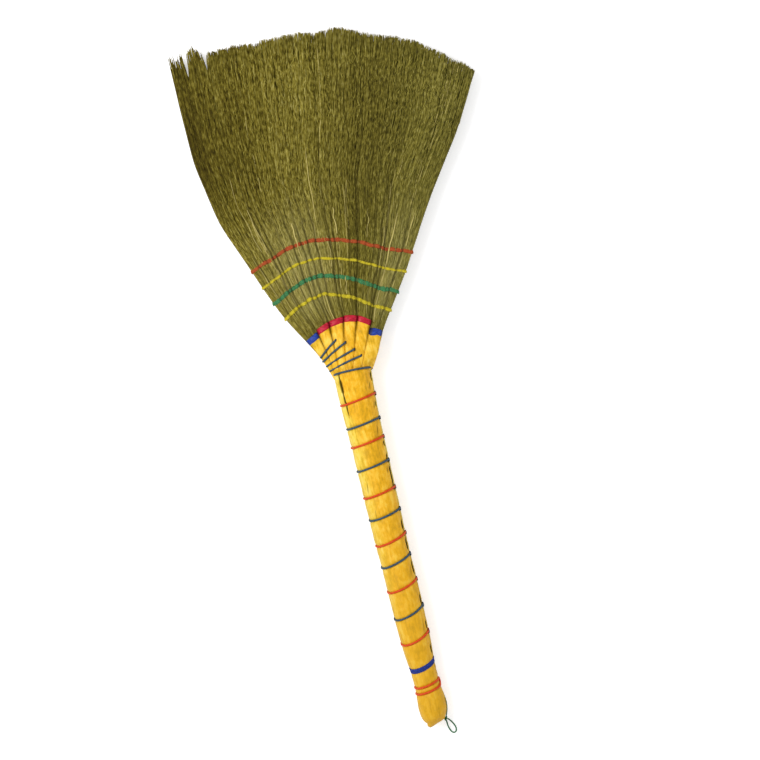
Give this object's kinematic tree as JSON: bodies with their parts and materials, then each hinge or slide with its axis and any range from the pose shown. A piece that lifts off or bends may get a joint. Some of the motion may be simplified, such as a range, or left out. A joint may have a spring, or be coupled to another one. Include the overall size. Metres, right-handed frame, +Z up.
{
  "type": "reed broom",
  "caption": "Long hand broom of tied stalk bundles, with a sleeved and wire-bound handle, a sewn flat fan of fibres and a cord loop at the butt.",
  "frame": {"origin": "on the floor under the middle of the broom's box, measured without the cord loop and its knot; the broom lies face up", "axes": "+Y from the butt towards the fan, +Z up from the floor, +X to the right seen from above with the fan away from the viewer"},
  "size_m": [0.341, 0.8357, 0.0457],
  "materials": {
    "yellow_film": "glossy",
    "dry_stalk": "dull",
    "olive_fibre": "dull",
    "blue_tape": "satin",
    "red_tape": "satin",
    "red_wire": "satin",
    "dark_wire": "satin",
    "blue_thread": "dull",
    "red_thread": "dull",
    "yellow_thread": "dull",
    "green_thread": "dull",
    "green_cord": "dull"
  },
  "bodies": {
    "broom": {"fibre_bundle_1": "olive_fibre", "stalk_bundle_1": "dry_stalk", "bundle_sleeve_1": "yellow_film", "bundle_ring_1": "blue_tape", "fibre_bundle_2": "olive_fibre", "stalk_bundle_2": "dry_stalk", "bundle_sleeve_2": "yellow_film", "bundle_ring_2": "red_tape", "fibre_bundle_3": "olive_fibre", "stalk_bundle_3": "dry_stalk", "bundle_sleeve_3": "yellow_film", "bundle_ring_3": "red_tape", "fibre_bundle_4": "olive_fibre", "stalk_bundle_4": "dry_stalk", "bundle_sleeve_4": "yellow_film", "bundle_ring_4": "red_tape", "fibre_bundle_5": "olive_fibre", "stalk_bundle_5": "dry_stalk", "bundle_sleeve_5": "yellow_film", "bundle_ring_5": "red_tape", "fibre_bundle_6": "olive_fibre", "stalk_bundle_6": "dry_stalk", "bundle_sleeve_6": "yellow_film", "bundle_ring_6": "blue_tape", "neck_wire_1": "dark_wire", "neck_wire_2": "dark_wire", "neck_wire_3": "dark_wire", "neck_wire_4": "dark_wire", "neck_wire_5": "dark_wire", "stitch_row_1": "yellow_thread", "stitch_row_2": "green_thread", "stitch_row_3": "yellow_thread", "stitch_row_4": "red_thread", "handle_sleeve": "yellow_film", "handle_wire_red_1": "red_wire", "handle_wire_red_2": "red_wire", "handle_wire_red_3": "red_wire", "handle_wire_red_4": "red_wire", "handle_wire_red_5": "red_wire", "handle_wire_red_6": "red_wire", "handle_wire_dark_1": "dark_wire", "handle_wire_dark_2": "dark_wire", "handle_wire_dark_3": "dark_wire", "handle_wire_dark_4": "dark_wire", "handle_wire_dark_5": "dark_wire", "end_winding_blue": "blue_thread", "end_winding_red": "red_wire", "loop_knot": "green_cord"},
    "loop": {"hanging_loop": "green_cord"}
  },
  "joints": [
    {"name": "loop_swing", "type": "hinge", "parent": "broom", "child": "loop", "pos_m": [-0.0373, -0.40764, 0.00845], "axis": [-0.9404, -0.3401, 0], "range_deg": [0, 90]}
  ]
}
